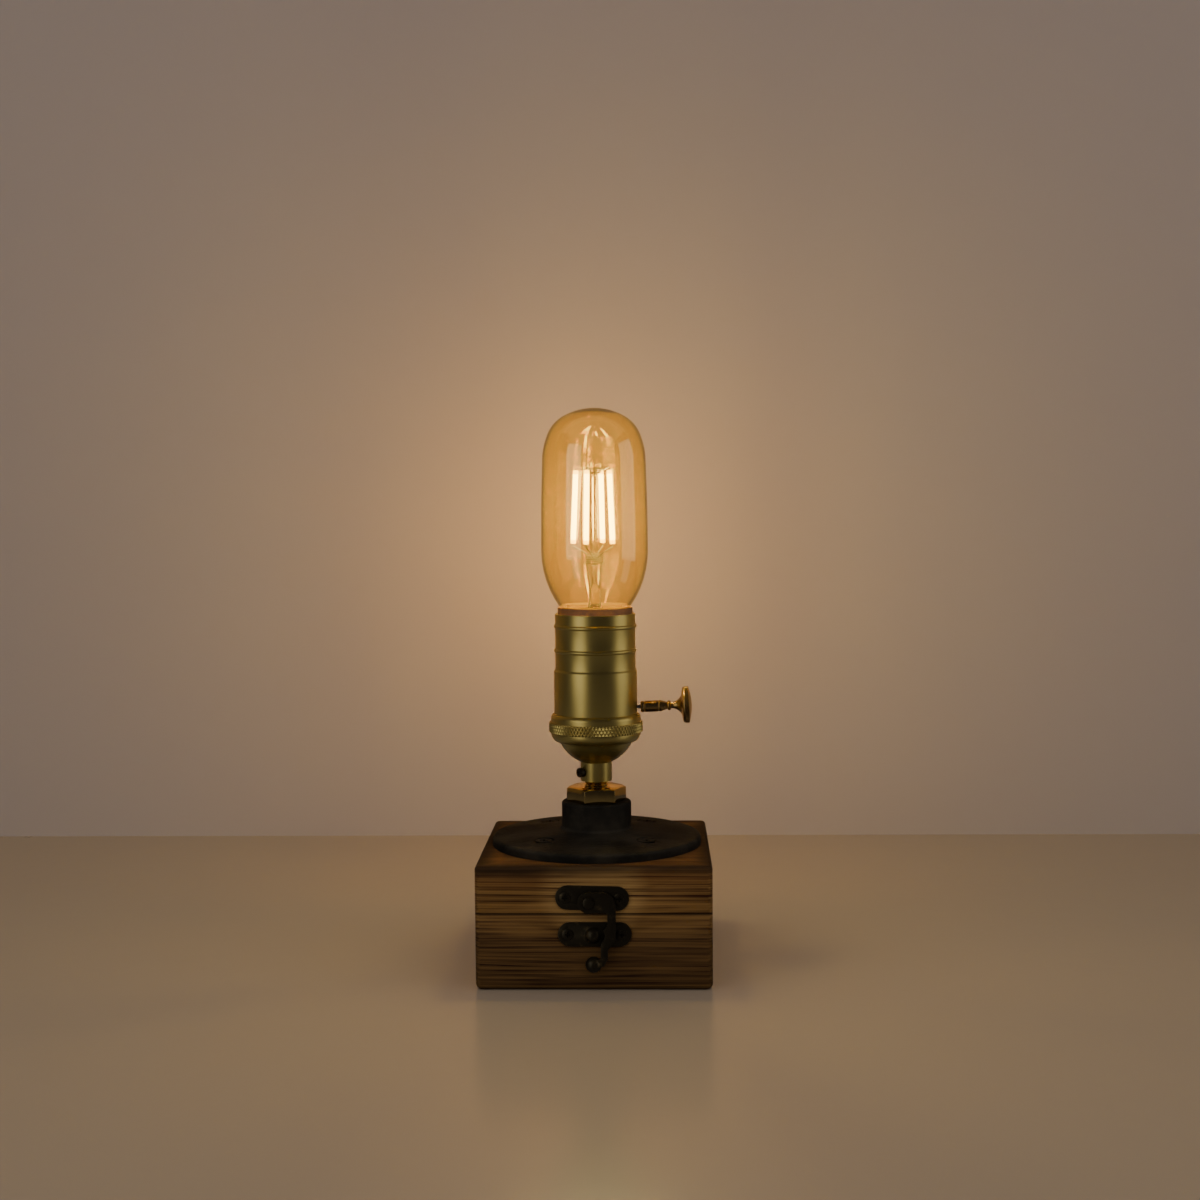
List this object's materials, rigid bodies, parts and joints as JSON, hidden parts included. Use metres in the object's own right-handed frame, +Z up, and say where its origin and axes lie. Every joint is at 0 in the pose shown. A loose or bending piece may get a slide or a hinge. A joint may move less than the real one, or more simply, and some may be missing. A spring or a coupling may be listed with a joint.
{
  "type": "table lamp on hinged keepsake box",
  "caption": "Table lamp: a tubular filament bulb in a keyed brass socket on an iron pipe flange, mounted on the hinged lid of a small torched-wood box with a swing latch.",
  "frame": {"origin": "centre of the box's underside, on the surface it stands on", "axes": "+Z up along the lamp's axis, -Y the front with the latch, +X the side of the switch knob"},
  "size_m": [0.095, 0.1078, 0.2338],
  "materials": {
    "torched_pine": "torched and oiled pine, dark grain lines",
    "cover_board": "thin stained plywood",
    "black_rubber": "matte",
    "bakelite": "moulded, semi-gloss",
    "wire_insulation": "matte",
    "cast_iron": "blackened, fine cast grain",
    "black_steel": "blackened",
    "polished_brass": "polished",
    "satin_brass": "satin brushed",
    "aged_brass": "darkened, satin",
    "steel": "bright",
    "contact_brass": "plain",
    "fibre_liner": "vulcanised fibre, matte",
    "amber_glass": "clear amber",
    "clear_glass": "clear",
    "lit_filament": "glowing warm white",
    "antique_bronze": "darkened bronze with worn highlights"
  },
  "bodies": {
    "tray": {"tray_front_board": "torched_pine", "tray_back_board": "torched_pine", "tray_left_board": "torched_pine", "tray_right_board": "torched_pine", "tray_bottom_board": "torched_pine", "keeper_plate": "antique_bronze", "keeper_plate_screws": "antique_bronze", "tray_hinge_leaves": "antique_bronze", "tray_hinge_screws": "antique_bronze", "hinge_pins": "antique_bronze"},
    "lid": {"lid_board": "torched_pine", "recess_cover": "cover_board", "cable_gland": "black_rubber", "terminal_block": "bakelite", "switch_mechanism": "bakelite", "contact_disc": "bakelite", "lead_wires": "wire_insulation", "flange": "cast_iron", "flange_screws": "black_steel", "hex_bushing": "polished_brass", "threaded_nipple": "polished_brass", "socket_cap": "satin_brass", "socket_ring": "satin_brass", "socket_shell": "satin_brass", "set_screw": "steel", "terminal_block_screws": "steel", "recess_cover_screws": "steel", "screw_shell": "steel", "centre_contact": "contact_brass", "shell_liner": "fibre_liner", "latch_plate": "antique_bronze", "latch_plate_screws": "antique_bronze", "latch_pivot_rivet": "antique_bronze", "lid_hinge_leaves": "antique_bronze", "lid_hinge_screws": "antique_bronze"},
    "latch_arm": {"latch_arm": "antique_bronze"},
    "switch": {"switch_shaft": "black_steel", "switch_stem": "aged_brass", "switch_knob": "aged_brass", "switch_rotor": "steel"},
    "bulb": {"bulb_tip_contact": "steel", "bulb_insulator": "bakelite", "bulb_cap": "steel", "bulb_glass": "amber_glass", "glass_stem": "clear_glass", "filaments": "lit_filament", "support_wires": "steel"}
  },
  "joints": [
    {"name": "lid_hinge", "type": "hinge", "parent": "tray", "child": "lid", "pos_m": [0, 0.0513, 0.031], "axis": [-1, 0, 0], "range_deg": [0, 100]},
    {"name": "latch_swing", "type": "hinge", "parent": "lid", "child": "latch_arm", "pos_m": [-0.0019, -0.0517, 0.0362], "axis": [0, -1, 0], "range_deg": [-5, 100]},
    {"name": "switch_turn", "type": "hinge", "parent": "lid", "child": "switch", "pos_m": [0, 0, 0.10705], "axis": [0.9991, 0, 0.0419], "continuous": true},
    {"name": "bulb_lift", "type": "slide", "parent": "lid", "child": "bulb", "axis": [0, 0, 1], "range_m": [0, 0.03]}
  ]
}
